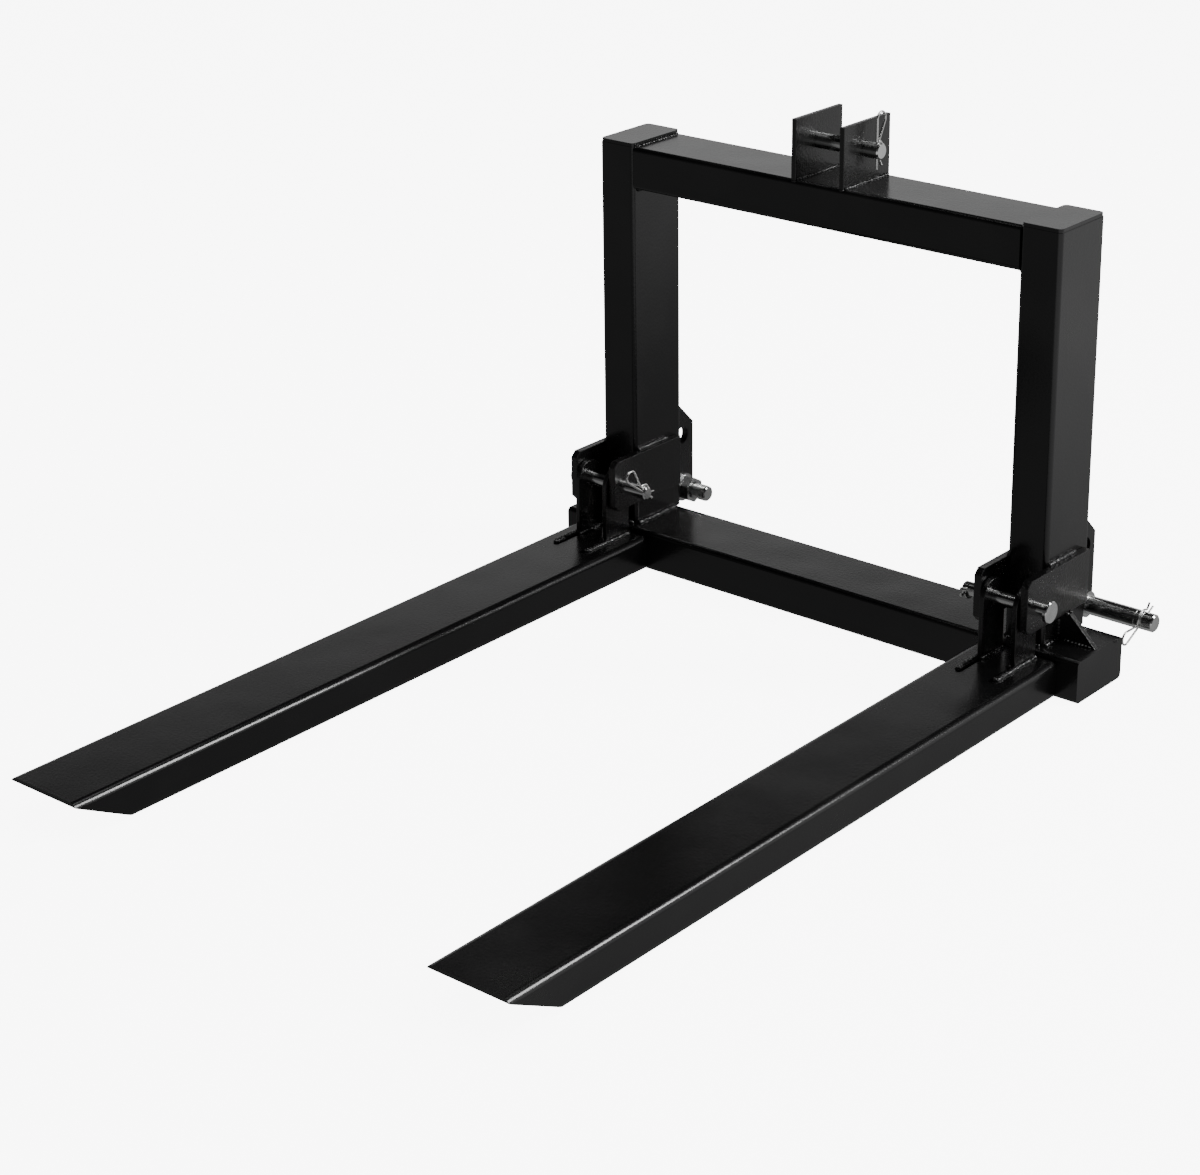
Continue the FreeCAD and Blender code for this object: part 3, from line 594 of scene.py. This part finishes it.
# Studio: a pale floor in front of a low bright band of light behind the frame, with a strip
# light behind on the right and a soft box overhead. The viewer's side is kept dim, so the upper
# faces pick up a sheen near the frame and the faces towards the viewer stay black.
FLOOR_PALE = (0.90, 0.90, 0.90, 1.0)
FLOOR_HALF_SIZE = 30.0
FLOOR_DROP = 0.0004
WHITE = (1.0, 1.0, 1.0, 1.0)
SHOWN_GLOW = 8.0
DIM_TO_X, BRIGHT_FROM_X = 0.05, 1.1
DIM_GLOW, BRIGHT_GLOW = 0.17, 0.60
floor_bm = bmesh.new()
bmesh.ops.create_grid(floor_bm, x_segments=1, y_segments=1, size=FLOOR_HALF_SIZE)
floor_mesh = bpy.data.meshes.new("floor")
floor_bm.to_mesh(floor_mesh)
floor_bm.free()
floor = bpy.data.objects.new("floor", floor_mesh)
floor.location.z = -FLOOR_DROP
bpy.context.scene.collection.objects.link(floor)


def floor_paper():
    """Pale paper that shows white to the eye and throws little light into the black paint."""
    material = bpy.data.materials.new("pale_floor")
    material.use_nodes = True
    nodes, join = material.node_tree.nodes, material.node_tree.links.new
    paper = nodes["Principled BSDF"]
    paper.inputs["Roughness"].default_value = 1.0
    paper.inputs["Specular IOR Level"].default_value = 0.0
    paper.inputs["Base Color"].default_value = FLOOR_PALE
    glow = nodes.new("ShaderNodeEmission")
    glow.inputs["Color"].default_value = WHITE
    glow.inputs["Strength"].default_value = SHOWN_GLOW
    place = nodes.new("ShaderNodeTexCoord")
    split = nodes.new("ShaderNodeSeparateXYZ")
    join(place.outputs["Object"], split.inputs[0])
    side = nodes.new("ShaderNodeMapRange")
    side.interpolation_type = "SMOOTHSTEP"
    side.inputs["From Min"].default_value = DIM_TO_X
    side.inputs["From Max"].default_value = BRIGHT_FROM_X
    side.inputs["To Min"].default_value = DIM_GLOW
    side.inputs["To Max"].default_value = BRIGHT_GLOW
    join(split.outputs["X"], side.inputs["Value"])
    dim = nodes.new("ShaderNodeEmission")
    dim.inputs["Color"].default_value = WHITE
    join(side.outputs["Result"], dim.inputs["Strength"])
    seen = nodes.new("ShaderNodeLightPath")
    lit = nodes.new("ShaderNodeAddShader")
    join(paper.outputs["BSDF"], lit.inputs[0])
    join(glow.outputs["Emission"], lit.inputs[1])
    pick = nodes.new("ShaderNodeMixShader")
    join(seen.outputs["Is Camera Ray"], pick.inputs["Fac"])
    join(dim.outputs["Emission"], pick.inputs[1])
    join(lit.outputs["Shader"], pick.inputs[2])
    join(pick.outputs["Shader"], nodes["Material Output"].inputs["Surface"])
    return material


floor_mesh.materials.append(floor_paper())


def softbox(name, spot, target, size, watts):
    """A rectangular area light that faces a target."""
    light = bpy.data.lights.new(name, "AREA")
    light.shape = "RECTANGLE"
    light.size, light.size_y = size
    light.energy = watts
    lamp = bpy.data.objects.new(name, light)
    aim = (Vector(target) - Vector(spot)).to_track_quat("-Z", "Y")
    lamp.matrix_world = Matrix.Translation(spot) @ aim.to_matrix().to_4x4()
    bpy.context.scene.collection.objects.link(lamp)


softbox("overhead", spot=(0.3, -0.2, 3.2), target=(0, 0, 0), size=(2.4, 2.4), watts=45)
softbox("right_strip", spot=(2.6, 1.8, 2.4), target=(0.2, 0, 0.3), size=(0.7, 1.6), watts=90)
WALL_BRIGHT_TO, WALL_DARK_FROM = 0.34, 0.465
WALL_GLOW, CEILING_GLOW = 13.0, 0.26
VIEWER_SIDE, FAR_SIDE = -0.25, 0.35
VIEWER_SHARE = 0.10


def studio_walls():
    """Light from behind: bright low down, dark from about 28 degrees up and dim on the viewer's side."""
    world = bpy.data.worlds.new("studio")
    bpy.context.scene.world = world
    world.use_nodes = True
    nodes, join = world.node_tree.nodes, world.node_tree.links.new
    place = nodes.new("ShaderNodeTexCoord")
    split = nodes.new("ShaderNodeSeparateXYZ")
    join(place.outputs["Generated"], split.inputs[0])
    fall = nodes.new("ShaderNodeMapRange")
    fall.interpolation_type = "SMOOTHSTEP"
    fall.inputs["From Min"].default_value = WALL_BRIGHT_TO
    fall.inputs["From Max"].default_value = WALL_DARK_FROM
    fall.inputs["To Min"].default_value = WALL_GLOW
    fall.inputs["To Max"].default_value = CEILING_GLOW
    join(split.outputs["Z"], fall.inputs["Value"])
    away = nodes.new("ShaderNodeMapRange")
    away.interpolation_type = "SMOOTHSTEP"
    away.inputs["From Min"].default_value = VIEWER_SIDE
    away.inputs["From Max"].default_value = FAR_SIDE
    away.inputs["To Min"].default_value = VIEWER_SHARE
    join(split.outputs["Y"], away.inputs["Value"])
    shaded = nodes.new("ShaderNodeMath")
    shaded.operation = "MULTIPLY"
    join(fall.outputs["Result"], shaded.inputs[0])
    join(away.outputs["Result"], shaded.inputs[1])
    join(shaded.outputs["Value"], nodes["Background"].inputs["Strength"])


studio_walls()


# Camera. It stands well ahead of the object on the right, looks down on it through a long lens,
# and has its lens shifted to bring the whole object into view.
LENS = 86.23
SHIFT_X, SHIFT_Y = -0.0090, -0.1047
CAMERA_SPOT = (1.83388, -2.52359, 1.38686)
TURN, LOOK_DOWN, LEAN = math.radians(40.31), math.radians(20.89), math.radians(-0.69)
camera_data = bpy.data.cameras.new("camera")
camera_data.lens = LENS
camera_data.shift_x = SHIFT_X
camera_data.shift_y = SHIFT_Y
camera = bpy.data.objects.new("camera", camera_data)
level = Matrix.Rotation(TURN, 4, "Z") @ Matrix.Rotation(math.pi / 2 - LOOK_DOWN, 4, "X")
camera.matrix_world = Matrix.Translation(CAMERA_SPOT) @ level @ Matrix.Rotation(LEAN, 4, "Z")
bpy.context.scene.collection.objects.link(camera)
bpy.context.scene.camera = camera
